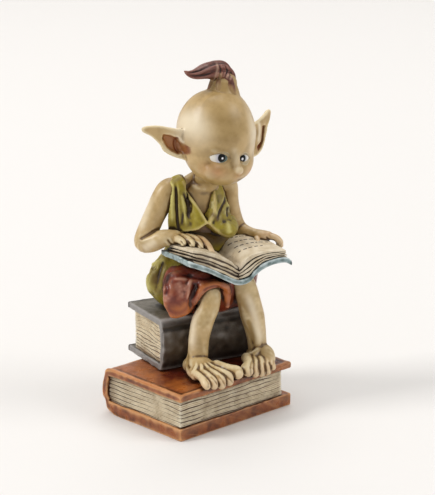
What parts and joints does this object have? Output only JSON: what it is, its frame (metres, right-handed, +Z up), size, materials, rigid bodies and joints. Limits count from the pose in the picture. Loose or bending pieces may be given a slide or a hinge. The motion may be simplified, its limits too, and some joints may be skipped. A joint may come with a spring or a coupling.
{
  "type": "fairy garden figurine",
  "caption": "Painted cast-resin goblin child with big ears and a topknot, reading an open book on its lap, seated on a thick book that lies askew on a larger leather one.",
  "frame": {"origin": "middle of the lower book's flat underside", "axes": "+Z up, +X along the lower book towards its head end, +Y towards its spine; the reader faces -Y, turned 14.4 degrees towards -X"},
  "size_m": [0.065, 0.0534, 0.1267],
  "materials": {
    "painted_resin": "hand painted cold-cast resin, satin, dark wash in the hollows"
  },
  "bodies": {
    "root": {"reading_goblin": "painted_resin"}
  },
  "joints": []
}
